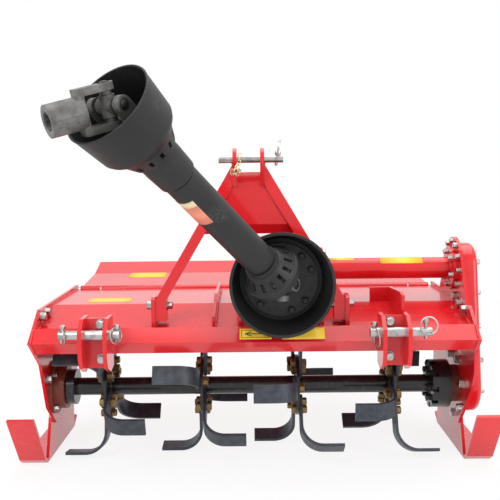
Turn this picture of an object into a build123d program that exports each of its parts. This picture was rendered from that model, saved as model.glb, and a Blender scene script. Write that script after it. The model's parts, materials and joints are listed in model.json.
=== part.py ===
"""Rotary tiller for a three-point hitch: welded frame, tined rotor, mast and jointed drive shaft.

Millimetres. X runs across the machine, Y to its rear, Z up from the ground under the skids.
While it is drawn, Y = 0 is the front edge of the beam; at export every piece is moved by one
offset, so that the origin lies under the middle of the whole machine.
"""
import os
from math import cos, hypot, radians, sin

from build123d import *

# Frame
FRAME_WIDTH = 1118          # over the side plates
FRAME_MID_X = 11
PLATE_T = 8
BEAM_SIDE = 46              # square tube set on edge
BEAM_WALL = 5
BEAM_Z = 355
DECK_T = 5
DECK_FRONT_Y, DECK_FRONT_Z = 52, 366
DECK_FOLD_Y, DECK_Z = 210, 413
HINGE_Y, HINGE_Z = 506, 415
HINGE_ROD_R = 7
KNUCKLE_R = 12
BOARD_T = 4
BOARD_RISE = ((0, 0), (208, 19), (306, 48))      # board's line behind the hinge, as it parks
BOARD_MARGIN = 11           # between the board's ends and the side plates
PIN_GAP = 0.3               # round every pin that turns
SWING_GAP = 5               # between pieces that move past each other

# Rotor
ROTOR_Y, ROTOR_Z = 208, 190
TINE_R = 182
ROTOR_TUBE_R = 24
ROTOR_STUB_R = 18
FLANGE_COUNT = 4
FLANGE_MARGIN_LEFT = 113    # from the tube's left end to the first flange
FLANGE_MARGIN_RIGHT = 155   # from the last flange to the tube's right end
FLANGE_R = 82
FLANGE_T = 8
TINE_T = 8
TINE_WIDTH = 46
TINE_REACH = 118            # sideways from the flange's middle
TINE_BEND_R = 60
TINE_ANGLES = (20, 36, 52, 68)   # of the first right-hand tine on each flange, from the front down
BEARING_R = 58
HUB_LEFT_R, HUB_RIGHT_R = 48, 65

# Skids
SKID_WIDTH = 70
SKID_T = 8
SKID_NOSE_Y, SKID_NOSE_Z = 28, 150
SKID_BEND_Y = 132
SKID_REAR_Y = 440
WEB_TOP_Z, WEB_STEP_Z = 212, 108     # of the web that bolts to the side plate

# Hitch
HITCH_SPREAD = 728
HITCH_MID_X = -11
EAR_GAP = 50
EAR_T = 10
LOWER_PIN_R = 11            # of the end that takes the link's ball
LOWER_PIN_BODY_R = 12.5     # where the ears hold it
PIN_COLLAR_R, PIN_COLLAR_T = 16, 4
LOWER_PIN_Y, LOWER_PIN_Z = -25, 382
LOWER_PIN_FREE = 48         # beyond the collar
MAST_HEIGHT = 421           # top pin above the lower pins
MAST_MID_X = 2
MAST_Y = 68                 # front of the mast's legs
FOOT_SPREAD = 482
LEG_WIDTH, LEG_DEPTH = 28, 40
TOP_EAR_GAP = 58
TOP_PIN_R = 9.5
TOP_PIN_LENGTH = 160

# Drive
INPUT_X, INPUT_Z = 80, 503
GEARBOX_Y = 255
DRIVE_TUBE_R = 29
GUARD_R = 122
GUARD_RIM_Y = -60
GUARD_BASE_Y = 58
GUARD_WALL = 3
CASE_T = 44
CASE_TOP_R, CASE_LOW_R = 68, 75

# Drive shaft
JOINT_Y = -20               # middle of the rear universal joint
SHAFT_SIDE_ANGLE = 37.5     # to the left of straight ahead
SHAFT_RISE_ANGLE = 36
END_DROP_ANGLE = 53         # end yoke below the shaft's line
END_SIDE_ANGLE = 21
TRUNNION_R = 11
FORK_HALF = 42              # half span over a fork's arms
FORK_ARM_T = 14
FORK_BASE = 50              # joint's middle to the fork's base
FORK_HUB_R = 26
SHIELD_R = 37.5
SHIELD_WALL = 4
CONE_START, CONE_END = 40, 106
CONE_R = 71
BELL_RIM = 664
NECK_LENGTH = 224           # from the shield tube's end to the bell's rim
CLOSING_ROOM = 94           # between the cone's seat and the inner tube
BELL_R = 91
END_HUB_R = 30
END_BORE_R = 17.5
END_HUB_LENGTH = 66

PLATE_LEFT_X = FRAME_MID_X - FRAME_WIDTH / 2         # outer faces
PLATE_RIGHT_X = FRAME_MID_X + FRAME_WIDTH / 2
INNER_LEFT_X = PLATE_LEFT_X + PLATE_T
INNER_RIGHT_X = PLATE_RIGHT_X - PLATE_T
BEAM_HALF = BEAM_SIDE * 2 ** 0.5 / 2
TOP_PIN_Z = LOWER_PIN_Z + MAST_HEIGHT
TOP_PIN_Y = MAST_Y
JOINT = Vector(INPUT_X, JOINT_Y, INPUT_Z)


def heading(side, rise):
    """Unit vector pointing ahead, turned to the left and raised by the two angles."""
    return Vector(-sin(radians(side)) * cos(radians(rise)),
                  -cos(radians(side)) * cos(radians(rise)), sin(radians(rise)))


SHAFT_DIR = heading(SHAFT_SIDE_ANGLE, SHAFT_RISE_ANGLE)
FORK_AXIS = Vector(cos(radians(SHAFT_SIDE_ANGLE)), -sin(radians(SHAFT_SIDE_ANGLE)), 0)
TUBE_END = BELL_RIM - NECK_LENGTH
END_JOINT = BELL_RIM - 6
END_CENTRE = JOINT + SHAFT_DIR * END_JOINT
END_LEVEL = heading(SHAFT_SIDE_ANGLE, SHAFT_RISE_ANGLE - END_DROP_ANGLE)
END_FORK_AXIS = END_LEVEL.cross(FORK_AXIS)
END_DIR = END_LEVEL.rotate(Axis((0, 0, 0), END_FORK_AXIS), -END_SIDE_ANGLE)
SHAFT_PLANE = Plane(origin=JOINT, x_dir=FORK_AXIS, z_dir=SHAFT_DIR)
INPUT_PLANE = Plane(origin=(INPUT_X, 0, INPUT_Z), x_dir=(1, 0, 0), z_dir=(0, -1, 0))


def side_plane(x):
    """Sketch plane across the machine at x, with its own axes along Y and Z."""
    return Plane(origin=(x, 0, 0), x_dir=(0, 1, 0), z_dir=(1, 0, 0))


def strip(path, thickness):
    """Outline of a sheet bent along path, the sheet lying to the path's left."""
    left = []
    for i, (y, z) in enumerate(path):
        steps = [(path[j + 1][0] - path[j][0], path[j + 1][1] - path[j][1])
                 for j in (i - 1, i) if 0 <= j < len(path) - 1]
        normals = [(-dz / hypot(dy, dz), dy / hypot(dy, dz)) for dy, dz in steps]
        ny, nz = sum(n[0] for n in normals), sum(n[1] for n in normals)
        scale = thickness * len(normals) / (ny * ny + nz * nz)
        left.append((y + ny * scale, z + nz * scale))
    return list(path) + left[::-1]


def prism(points, x0, x1):
    """Solid with a Y-Z outline running from x0 to x1."""
    with BuildPart() as body:
        with BuildSketch(side_plane(x0)):
            with BuildLine():
                Polyline(*points, close=True)
            make_face()
        extrude(amount=x1 - x0)
    return body.part


def rod(x0, x1, y, z, radius, bore=0):
    """Round bar or sleeve along X."""
    with BuildPart() as body:
        with BuildSketch(side_plane(x0)):
            with Locations((y, z)):
                Circle(radius)
                if bore:
                    Circle(bore, mode=Mode.SUBTRACT)
        extrude(amount=x1 - x0)
    return body.part


# Front beam, a square tube set on edge
with BuildPart() as front_beam:
    with BuildSketch(side_plane(INNER_LEFT_X)):
        with Locations((BEAM_HALF, BEAM_Z)):
            Rectangle(BEAM_SIDE, BEAM_SIDE, rotation=45)
            Rectangle(BEAM_SIDE - 2 * BEAM_WALL, BEAM_SIDE - 2 * BEAM_WALL, rotation=45, mode=Mode.SUBTRACT)
    extrude(amount=INNER_RIGHT_X - INNER_LEFT_X)

# Deck, one sheet from the beam's upper rear face to the hinge
DECK_REAR_Y = HINGE_Y - KNUCKLE_R
with BuildPart() as deck:
    with BuildSketch(side_plane(INNER_LEFT_X)):
        with BuildLine():
            Polyline(*strip([(DECK_FRONT_Y - 25, DECK_FRONT_Z - 7), (DECK_FOLD_Y, DECK_Z), (DECK_REAR_Y, DECK_Z)],
                            DECK_T), close=True)
        make_face()
        with Locations((BEAM_HALF, BEAM_Z)):
            Rectangle(BEAM_SIDE, BEAM_SIDE, rotation=45, mode=Mode.SUBTRACT)
        split(bisect_by=Plane(origin=(BEAM_HALF + BEAM_SIDE / 8 ** 0.5, BEAM_Z + BEAM_SIDE / 8 ** 0.5),
                              z_dir=(1, 1, 0)), keep=Keep.TOP)
    extrude(amount=INNER_RIGHT_X - INNER_LEFT_X)


DECK_SLOPE = (DECK_Z - DECK_FRONT_Z + 7) / (DECK_FOLD_Y - DECK_FRONT_Y + 25)
DECK_TOP_Z = DECK_Z + DECK_T
FOLD_TOP_Y = DECK_FOLD_Y - DECK_T * (hypot(1, DECK_SLOPE) - 1) / DECK_SLOPE


def deck_top(y):
    """Height of the deck's upper face at y."""
    return DECK_TOP_Z - DECK_SLOPE * max(FOLD_TOP_Y - y, 0)


# Plates that stand on the deck: gearbox cradle and one stiffening rib
CRADLE_T = 8
CRADLE_HALF = 105           # from the input's line to the middle of a plate
CRADLE_X = (INPUT_X - CRADLE_HALF, INPUT_X + CRADLE_HALF)
CRADLE_FRONT_Y, CRADLE_STEP_Y = MAST_Y - 4, MAST_Y + LEG_DEPTH + 10
CRADLE_SHELF = 60           # above the deck
SHELF_HALF = 105            # to the front and to the rear of the gearbox's middle
CRADLE_TAIL = 40            # behind the shelf
RIB_X = INPUT_X - 171
RIB_RISE = 28
RIB_FRONT_RISE = 10         # lower at its front end
with BuildPart() as deck_ribs:
    for x in CRADLE_X:
        with BuildSketch(side_plane(x - CRADLE_T / 2)):
            with BuildLine():
                Polyline((CRADLE_FRONT_Y, deck_top(CRADLE_FRONT_Y)), (CRADLE_FRONT_Y, DECK_TOP_Z + CRADLE_SHELF / 2),
                         (CRADLE_STEP_Y, DECK_TOP_Z + CRADLE_SHELF / 2 + 4),
                         (GEARBOX_Y - SHELF_HALF, DECK_TOP_Z + CRADLE_SHELF),
                         (GEARBOX_Y + SHELF_HALF, DECK_TOP_Z + CRADLE_SHELF),
                         (GEARBOX_Y + SHELF_HALF + CRADLE_TAIL, DECK_TOP_Z + CRADLE_SHELF - CRADLE_TAIL + 2),
                         (GEARBOX_Y + SHELF_HALF + CRADLE_TAIL, DECK_TOP_Z), (FOLD_TOP_Y, DECK_TOP_Z), close=True)
            make_face()
        extrude(amount=CRADLE_T)
    with BuildSketch(side_plane(RIB_X - CRADLE_T / 2)):
        with BuildLine():
            Polyline((CRADLE_FRONT_Y, deck_top(CRADLE_FRONT_Y)), (CRADLE_FRONT_Y, DECK_TOP_Z - RIB_FRONT_RISE),
                     (DECK_FOLD_Y - 10, DECK_TOP_Z + RIB_RISE), (DECK_FOLD_Y + 210, DECK_TOP_Z + RIB_RISE),
                     (DECK_FOLD_Y + 245, DECK_TOP_Z), (FOLD_TOP_Y, DECK_TOP_Z), close=True)
        make_face()
    extrude(amount=CRADLE_T)

# Side plates
PLATE_OUTLINE = [(0, BEAM_Z), (98, 424), (515, 428), (515, 392), (466, 330), (466, 150), (430, 86),
                 (215, 86), (140, 150), (116, 212), (88, 281)]
RIGHT_OUTLINE = [(0, BEAM_Z), (98, 424), (515, 428), (515, 392), (466, 330), (466, 150), (430, 86),
                 (180, 86), (60, 215), (36, 262), (36, 318)]
CASE_EDGE = 17              # of the right-hand plate round the chain case
CASE_FOOT = 290
with BuildPart() as side_plate_left:
    add(prism(PLATE_OUTLINE, PLATE_LEFT_X, INNER_LEFT_X))
with BuildPart() as side_plate_right:
    add(prism(RIGHT_OUTLINE, INNER_RIGHT_X, PLATE_RIGHT_X))
    with BuildSketch(side_plane(INNER_RIGHT_X)):
        with Locations((GEARBOX_Y, INPUT_Z)):
            Circle(CASE_TOP_R + CASE_EDGE)
        with Locations((GEARBOX_Y + 5, DECK_TOP_Z - 18)):
            Rectangle(CASE_FOOT, 40)
        make_hull()
    extrude(amount=PLATE_T)


def skid(x_face, out):
    """Runner with a turned-up nose and the web that bolts to the side plate's outer face."""
    x0, x1 = sorted((x_face, x_face + out * SKID_WIDTH))
    w0, w1 = sorted((x_face, x_face + out * PLATE_T))
    with BuildPart() as body:
        add(prism(strip([(SKID_NOSE_Y, SKID_NOSE_Z), (SKID_BEND_Y - 12, 14), (SKID_BEND_Y + 8, 0), (SKID_REAR_Y, 0),
                         (SKID_REAR_Y + 34, 20)], SKID_T), x0, x1))
        add(prism([(SKID_BEND_Y + 20, SKID_T - 1), (SKID_REAR_Y, SKID_T - 1), (SKID_REAR_Y, WEB_TOP_Z - 32),
                   (SKID_REAR_Y - 38, WEB_TOP_Z), (SKID_REAR_Y - 118, WEB_TOP_Z), (SKID_REAR_Y - 138, WEB_STEP_Z),
                   (SKID_BEND_Y + 58, WEB_STEP_Z)], w0, w1))
    return body.part


skid_left = skid(PLATE_LEFT_X, -1)
skid_right = skid(PLATE_RIGHT_X, 1)

# Lower hitch brackets, notched over the beam's front edge
EAR_OUTLINE = [(-58, 394), (-27, 422), (28, 422), (28, BEAM_Z + 28), (0, BEAM_Z), (28, BEAM_Z - 28), (28, 296),
               (-12, 288), (-46, 304), (-58, 332)]


def hitch_bracket(x_mid):
    """Two ears joined by a cross plate, bored for the lower hitch pin."""
    with BuildPart() as body:
        for side in (-1, 1):
            x0 = x_mid + side * (EAR_GAP + EAR_T) / 2 - EAR_T / 2
            add(prism(EAR_OUTLINE, x0, x0 + EAR_T))
        add(prism([(-8, 296), (-8, 420), (0, 420), (0, 296)], x_mid - EAR_GAP / 2, x_mid + EAR_GAP / 2))
        add(rod(x_mid - EAR_GAP, x_mid + EAR_GAP, LOWER_PIN_Y, LOWER_PIN_Z, LOWER_PIN_BODY_R), mode=Mode.SUBTRACT)
    return body.part


BRACKET_LEFT_X = HITCH_MID_X - HITCH_SPREAD / 2
BRACKET_RIGHT_X = HITCH_MID_X + HITCH_SPREAD / 2
hitch_bracket_left = hitch_bracket(BRACKET_LEFT_X)
hitch_bracket_right = hitch_bracket(BRACKET_RIGHT_X)
PIN_COLLAR_X = EAR_GAP / 2 + EAR_T
PIN_FREE_X = PIN_COLLAR_X + PIN_COLLAR_T
PIN_TAIL = PIN_COLLAR_X + 26


def lower_pin(x_mid, out):
    """Hitch pin held in both ears, with a collar outside the outer one and a free end for the link."""
    with BuildPart() as body:
        add(rod(x_mid - out * PIN_TAIL, x_mid + out * PIN_FREE_X, LOWER_PIN_Y, LOWER_PIN_Z, LOWER_PIN_BODY_R))
        add(rod(x_mid + out * PIN_COLLAR_X, x_mid + out * PIN_FREE_X, LOWER_PIN_Y, LOWER_PIN_Z, PIN_COLLAR_R))
        add(rod(x_mid + out * PIN_FREE_X, x_mid + out * (PIN_FREE_X + LOWER_PIN_FREE), LOWER_PIN_Y, LOWER_PIN_Z,
                LOWER_PIN_R))
    return body.part


lower_pin_left = lower_pin(BRACKET_LEFT_X, -1)
lower_pin_right = lower_pin(BRACKET_RIGHT_X, 1)

# Tall gusset from the right-hand bracket over the deck
GUSSET_X = BRACKET_RIGHT_X + EAR_GAP / 2
with BuildPart() as deck_gusset:
    add(prism([(BEAM_HALF, BEAM_Z + BEAM_HALF), (BEAM_HALF, 462), (60, 467), (216, 457),
               (216, DECK_TOP_Z), (FOLD_TOP_Y, DECK_TOP_Z), (64, deck_top(64))],
              GUSSET_X, GUSSET_X + PLATE_T))
    add(prism([(FOLD_TOP_Y, DECK_TOP_Z), (FOLD_TOP_Y, 457), (216, 457), (216, DECK_TOP_Z)],
              GUSSET_X - 52, GUSSET_X))

# Mast: feet, legs, cross panel, ears and top pin
FOOT_T = 10
FOOT_Z, KNEE_Z = 396, 450
FOOT_TOP_Z = KNEE_Z + 8
FOOT_CORNER = 6
EAR_OUT = TOP_EAR_GAP / 2 + EAR_T
LEG_IN, LEG_OUT = FOOT_SPREAD / 2 - LEG_WIDTH, FOOT_SPREAD / 2
LEG_TOP_IN_Z, LEG_TOP_OUT_Z = 740, 792
PANEL_LOW_Z, PANEL_TOP_Z = 615, 771
PANEL_FOLD = 26
TOP_EAR_R = 27
with BuildPart() as mast_feet:
    for side in (-1, 1):
        with BuildSketch(side_plane(MAST_MID_X + side * (LEG_OUT + FOOT_T / 2) - FOOT_T / 2)):
            with BuildLine():
                Polyline((CRADLE_FRONT_Y, deck_top(CRADLE_FRONT_Y)), (CRADLE_FRONT_Y, FOOT_TOP_Z - FOOT_CORNER),
                         (CRADLE_FRONT_Y + FOOT_CORNER, FOOT_TOP_Z), (CRADLE_STEP_Y - FOOT_CORNER, FOOT_TOP_Z),
                         (CRADLE_STEP_Y, FOOT_TOP_Z - FOOT_CORNER), (CRADLE_STEP_Y, deck_top(CRADLE_STEP_Y)),
                         close=True)
            make_face()
        extrude(amount=FOOT_T)


def mast_leg(side):
    """Bar from the foot plate up to the outer face of the mast's ear."""
    with BuildPart() as body:
        with BuildSketch(Plane(origin=(MAST_MID_X, MAST_Y, 0), x_dir=(side, 0, 0), z_dir=(0, -side, 0))):
            with BuildLine():
                Polyline((LEG_OUT, FOOT_Z), (LEG_OUT, KNEE_Z), (EAR_OUT, LEG_TOP_OUT_Z), (EAR_OUT, LEG_TOP_IN_Z),
                         (LEG_IN, KNEE_Z), (LEG_IN, FOOT_Z), close=True)
            make_face()
        extrude(amount=-side * LEG_DEPTH)
    return body.part


mast_leg_left = mast_leg(-1)
mast_leg_right = mast_leg(1)
EAR_LOW_Z = LEG_TOP_IN_Z - 5


def leg_inner(z):
    """Half the gap between the legs at height z."""
    return LEG_IN - (LEG_IN - EAR_OUT) * (z - KNEE_Z) / (LEG_TOP_IN_Z - KNEE_Z)


PANEL_HALF = leg_inner(PANEL_LOW_Z)
with BuildPart() as mast_panel:
    with BuildSketch(side_plane(MAST_MID_X - PANEL_HALF)):
        with BuildLine():
            Polyline(*strip([(MAST_Y + 6, PANEL_LOW_Z + PANEL_FOLD - 1), (MAST_Y + 6, PANEL_TOP_Z - PANEL_FOLD),
                             (MAST_Y + PANEL_FOLD, PANEL_TOP_Z)][::-1]
                            + [(MAST_Y + 28, PANEL_LOW_Z)], 5), close=True)
        make_face()
    extrude(amount=2 * PANEL_HALF)
    with BuildSketch(Plane(origin=(MAST_MID_X, MAST_Y, 0), x_dir=(1, 0, 0), z_dir=(0, -1, 0))):
        with BuildLine():
            Polyline((-PANEL_HALF, PANEL_LOW_Z), (PANEL_HALF, PANEL_LOW_Z), (leg_inner(EAR_LOW_Z), EAR_LOW_Z),
                     (EAR_OUT - EAR_T, EAR_LOW_Z), (EAR_OUT - EAR_T, PANEL_TOP_Z + 9),
                     (EAR_T - EAR_OUT, PANEL_TOP_Z + 9), (EAR_T - EAR_OUT, EAR_LOW_Z),
                     (-leg_inner(EAR_LOW_Z), EAR_LOW_Z), close=True)
        make_face()
    extrude(amount=-LEG_DEPTH, mode=Mode.INTERSECT)
with BuildPart() as top_clevis:
    for side in (-1, 1):
        with BuildSketch(side_plane(MAST_MID_X + side * (EAR_OUT - EAR_T / 2) - EAR_T / 2)):
            with Locations((TOP_PIN_Y, TOP_PIN_Z)):
                Circle(TOP_EAR_R)
            with Locations((MAST_Y + LEG_DEPTH / 2, EAR_LOW_Z + 9)):
                Rectangle(LEG_DEPTH, 18)
            make_hull()
            with Locations((TOP_PIN_Y, TOP_PIN_Z)):
                Circle(TOP_PIN_R, mode=Mode.SUBTRACT)
        extrude(amount=EAR_T)
TOP_PIN_START = MAST_MID_X - 74
top_pin = rod(TOP_PIN_START, TOP_PIN_START + TOP_PIN_LENGTH, TOP_PIN_Y, TOP_PIN_Z, TOP_PIN_R)

# Gearbox between its cradle plates, with the input neck to the front
CRADLE_GAP = CRADLE_X[1] - CRADLE_X[0] - CRADLE_T
BOSS_R = 52
NECK_R, NECK_FLANGE_R, NECK_FLANGE_T = 66, 90, 8
GEARBOX_WIDTH, GEARBOX_DEPTH, GEARBOX_CORNER = 160, 190, 22
GEARBOX_SEAT_DEPTH, GEARBOX_SEAT_T = 150, 40     # pads that bolt to the cradle plates
FILLER_R, FILLER_RISE = 18, 104
with BuildPart() as gearbox:
    with Locations((INPUT_X, GEARBOX_Y, INPUT_Z + 1)):
        Box(GEARBOX_WIDTH, GEARBOX_DEPTH, 2 * (INPUT_Z + 1 - DECK_TOP_Z))
    fillet(gearbox.edges().filter_by(Axis.Z), GEARBOX_CORNER)
    with Locations((INPUT_X, GEARBOX_Y, DECK_TOP_Z + CRADLE_SHELF - 28)):
        Box(CRADLE_GAP, GEARBOX_SEAT_DEPTH, GEARBOX_SEAT_T)
    add(rod(CRADLE_X[0] - CRADLE_T / 2, CRADLE_X[1] + CRADLE_T / 2, GEARBOX_Y, INPUT_Z, BOSS_R))
    with BuildSketch(INPUT_PLANE.offset(-GEARBOX_Y)):
        Circle(NECK_R)
    extrude(amount=GEARBOX_Y - GUARD_BASE_Y)
    with BuildSketch(INPUT_PLANE.offset(-GUARD_BASE_Y - NECK_FLANGE_T)):
        Circle(NECK_FLANGE_R)
    extrude(amount=NECK_FLANGE_T)
    with BuildSketch(Plane.XY.offset(INPUT_Z)):
        with Locations((INPUT_X, GEARBOX_Y)):
            Circle(FILLER_R)
    extrude(amount=FILLER_RISE)
for_boss = rod(INPUT_X - 200, INPUT_X + 200, GEARBOX_Y, INPUT_Z, BOSS_R)
# Cut clear of the gearbox's boss and of the mast's legs
with BuildPart() as deck_stand:
    add(deck_ribs.part)
    add(for_boss, mode=Mode.SUBTRACT)
    for side in (-1, 1):
        with Locations((MAST_MID_X + side * (LEG_OUT - LEG_WIDTH / 2), MAST_Y + LEG_DEPTH / 2, KNEE_Z)):
            Box(LEG_WIDTH + 2 * SWING_GAP, LEG_DEPTH + 2 * SWING_GAP, 2 * (KNEE_Z - FOOT_Z) + 2 * LEG_DEPTH,
                mode=Mode.SUBTRACT)

DRIVE_FLANGE_R = 60
DRIVE_START = CRADLE_X[1] + CRADLE_T / 2
with BuildPart() as drive_tube:
    add(rod(DRIVE_START, INNER_RIGHT_X, GEARBOX_Y, INPUT_Z, DRIVE_TUBE_R))
    add(rod(DRIVE_START, DRIVE_START + 12, GEARBOX_Y, INPUT_Z, DRIVE_FLANGE_R))
    add(rod(INNER_RIGHT_X - 12, INNER_RIGHT_X, GEARBOX_Y, INPUT_Z, DRIVE_FLANGE_R))

with BuildPart() as chain_case:
    with BuildSketch(side_plane(PLATE_RIGHT_X)):
        with Locations((GEARBOX_Y, INPUT_Z)):
            Circle(CASE_TOP_R)
        with Locations((ROTOR_Y, ROTOR_Z)):
            Circle(CASE_LOW_R)
        make_hull()
    extrude(amount=CASE_T)
    fillet(chain_case.faces().sort_by(Axis.X)[-1].edges(), 14)


def turned(points, origin, radial, along):
    """Ring with the given (radius, distance) outline, turned about the line from origin along a direction."""
    with BuildPart() as body:
        with BuildSketch(Plane(origin=origin, x_dir=radial, z_dir=radial.cross(along))):
            with BuildLine():
                Polyline(*points, close=True)
            make_face()
        revolve(axis=Axis(origin, along))
    return body.part


INPUT_POINT = Vector(INPUT_X, 0, INPUT_Z)
INPUT_BORE = 30
input_flange = turned([(INPUT_BORE, 42), (92, 42), (92, 52), (INPUT_BORE, 52)], INPUT_POINT, Vector(1, 0, 0),
                      Vector(0, 1, 0))
pto_guard = turned([(GUARD_R - GUARD_WALL, GUARD_RIM_Y), (GUARD_R + 4, GUARD_RIM_Y), (GUARD_R + 4, GUARD_RIM_Y + 6),
                    (GUARD_R, GUARD_RIM_Y + 9), (112, 0), (106, 52), (106, GUARD_BASE_Y), (INPUT_BORE, GUARD_BASE_Y),
                    (INPUT_BORE, 52), (106 - GUARD_WALL, 52), (112 - GUARD_WALL, 0)], INPUT_POINT, Vector(1, 0, 0),
                   Vector(0, 1, 0))


def fork(origin, pin_axis, along, hub_r, hub_end, bore=0):
    """Universal joint fork: two eyes on the pin axis, a base and a hub running along its direction."""
    plane = Plane(origin=origin, x_dir=pin_axis, z_dir=along)
    arm_mid = FORK_HALF - FORK_ARM_T / 2
    eye_r = TRUNNION_R + 6
    with BuildPart() as body:
        with Locations(plane):
            for side in (-1, 1):
                with Locations((side * arm_mid, 0, FORK_BASE / 2)):
                    Box(FORK_ARM_T, 2 * eye_r, FORK_BASE)
                with Locations(Location((side * arm_mid, 0, 0), (0, 90, 0))):
                    Cylinder(eye_r, FORK_ARM_T)
            with Locations((0, 0, FORK_BASE + 2)):
                Box(2 * FORK_HALF, 2 * eye_r, 12)
            with Locations((0, 0, FORK_BASE)):
                Cylinder(hub_r, hub_end - FORK_BASE, align=(Align.CENTER, Align.CENTER, Align.MIN))
            with Locations(Location((0, 0, 0), (0, 90, 0))):
                Cylinder(TRUNNION_R + PIN_GAP, 2 * FORK_HALF, mode=Mode.SUBTRACT)
            if bore:
                Cylinder(bore, 2 * hub_end, mode=Mode.SUBTRACT)
    return body.part


def cross(origin, first, second):
    """Two crossed trunnions with a thicker middle."""
    with BuildPart() as body:
        with Locations(Plane(origin=origin, x_dir=second, z_dir=first)):
            Cylinder(TRUNNION_R, 2 * FORK_HALF - 2)
            Cylinder(TRUNNION_R + 4, 40)
            with Locations(Location((0, 0, 0), (0, 90, 0))):
                Cylinder(TRUNNION_R, 2 * FORK_HALF - 2)
                Cylinder(TRUNNION_R + 4, 40)
    return body.part


UP = Vector(0, 0, 1)
pto_input_yoke = fork(JOINT, UP, Vector(0, 1, 0), FORK_HUB_R, GUARD_BASE_Y - JOINT_Y)
pto_cross = cross(JOINT, UP, FORK_AXIS)
pto_yoke = fork(JOINT, FORK_AXIS, SHAFT_DIR, FORK_HUB_R, CONE_END + 24)
with BuildPart() as pto_cone:
    add(turned([(CONE_R - SHIELD_WALL, CONE_START), (CONE_R, CONE_START), (CONE_R, CONE_START + 16),
                (CONE_R - 4.5, CONE_START + 18), (46, CONE_END - 14), (42, CONE_END - 12), (42, CONE_END),
                (FORK_HUB_R, CONE_END), (FORK_HUB_R, CONE_END - 8), (41, CONE_END - 14), (61.5, CONE_START + 18),
                (CONE_R - SHIELD_WALL, CONE_START + 15)], JOINT, FORK_AXIS, SHAFT_DIR))
    with Locations(SHAFT_PLANE.offset(CONE_START + 34)):
        with PolarLocations(56, 14):
            Box(34, 9, 20, mode=Mode.SUBTRACT)
TUBE_IN_R = SHIELD_R - SHIELD_WALL
INNER_TUBE_R = TUBE_IN_R - 0.5
COLLAR_START = TUBE_END + SWING_GAP
INNER_START = CONE_END + CLOSING_ROOM
pto_tube = turned([(TUBE_IN_R, CONE_END), (SHIELD_R, CONE_END), (SHIELD_R, TUBE_END), (TUBE_IN_R, TUBE_END)],
                  JOINT, FORK_AXIS, SHAFT_DIR)
pto_inner_tube = turned([(INNER_TUBE_R - 5, INNER_START), (INNER_TUBE_R, INNER_START),
                         (INNER_TUBE_R, COLLAR_START + 25), (INNER_TUBE_R - 5, COLLAR_START + 25)],
                        JOINT, FORK_AXIS, SHAFT_DIR)
BELL_SEAT = BELL_RIM - 92
with BuildPart() as pto_bell_neck:
    add(turned([(INNER_TUBE_R, COLLAR_START), (42, COLLAR_START), (44, BELL_SEAT - 82), (44, BELL_SEAT - 52),
                (52, BELL_SEAT - 48), (66, BELL_SEAT - 16), (80, BELL_SEAT), (76, BELL_SEAT), (62, BELL_SEAT - 13),
                (49, BELL_SEAT - 43), (41, BELL_SEAT - 48), (FORK_HUB_R, BELL_SEAT - 52),
                (FORK_HUB_R, BELL_SEAT - 72), (INNER_TUBE_R, BELL_SEAT - 76)], JOINT, FORK_AXIS, SHAFT_DIR))
    with Locations(SHAFT_PLANE.offset(BELL_SEAT - 32)):
        with PolarLocations(58, 14):
            Box(30, 8, 16, mode=Mode.SUBTRACT)
pto_bell = turned([(76, BELL_SEAT), (80, BELL_SEAT), (84, BELL_SEAT + 8), (BELL_R, BELL_RIM), (BELL_R - 3, BELL_RIM),
                   (81, BELL_SEAT + 10)], JOINT, FORK_AXIS, SHAFT_DIR)
pto_bell_yoke = fork(END_CENTRE, FORK_AXIS, SHAFT_DIR * -1, FORK_HUB_R, END_JOINT - BELL_SEAT + 72)
pto_end_cross = cross(END_CENTRE, FORK_AXIS, END_FORK_AXIS)
pto_end_yoke = fork(END_CENTRE, END_FORK_AXIS, END_DIR, END_HUB_R, FORK_BASE + END_HUB_LENGTH, END_BORE_R)

# Rotor with its bearings
BEARING_BORE_R = ROTOR_STUB_R + PIN_GAP
BEARING_LEFT_END = INNER_LEFT_X + 38
BEARING_RIGHT_START = INNER_RIGHT_X - 22
TUBE_LEFT_X, TUBE_RIGHT_X = BEARING_LEFT_END + 3, BEARING_RIGHT_START - 3
with BuildPart() as rotor_bearings:
    add(rod(INNER_LEFT_X, BEARING_LEFT_END, ROTOR_Y, ROTOR_Z, BEARING_R, BEARING_BORE_R))
    add(rod(INNER_LEFT_X, INNER_LEFT_X + 10, ROTOR_Y, ROTOR_Z, BEARING_R + 14, BEARING_BORE_R))
    add(rod(BEARING_RIGHT_START, INNER_RIGHT_X, ROTOR_Y, ROTOR_Z, 50, BEARING_BORE_R))
with BuildPart() as rotor_shaft:
    add(rod(TUBE_LEFT_X, TUBE_RIGHT_X, ROTOR_Y, ROTOR_Z, ROTOR_TUBE_R))
    add(rod(TUBE_LEFT_X - 24, TUBE_RIGHT_X + 18, ROTOR_Y, ROTOR_Z, ROTOR_STUB_R))
with BuildPart() as rotor_hubs:
    add(rod(TUBE_LEFT_X, TUBE_LEFT_X + 22, ROTOR_Y, ROTOR_Z, HUB_LEFT_R, ROTOR_TUBE_R))
    add(rod(TUBE_RIGHT_X - 50, TUBE_RIGHT_X, ROTOR_Y, ROTOR_Z, HUB_RIGHT_R, ROTOR_TUBE_R))
    with Locations(side_plane(TUBE_RIGHT_X - 50)):
        with Locations((ROTOR_Y, ROTOR_Z, 0)):
            with PolarLocations(HUB_RIGHT_R - 2, 10):
                Box(22, 14, 30, mode=Mode.SUBTRACT)
FLANGE_FIRST_X = TUBE_LEFT_X + FLANGE_MARGIN_LEFT
FLANGE_PITCH = (TUBE_RIGHT_X - FLANGE_MARGIN_RIGHT - FLANGE_FIRST_X) / (FLANGE_COUNT - 1)
FLANGE_X = [FLANGE_FIRST_X + FLANGE_PITCH * i for i in range(FLANGE_COUNT)]
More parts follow.
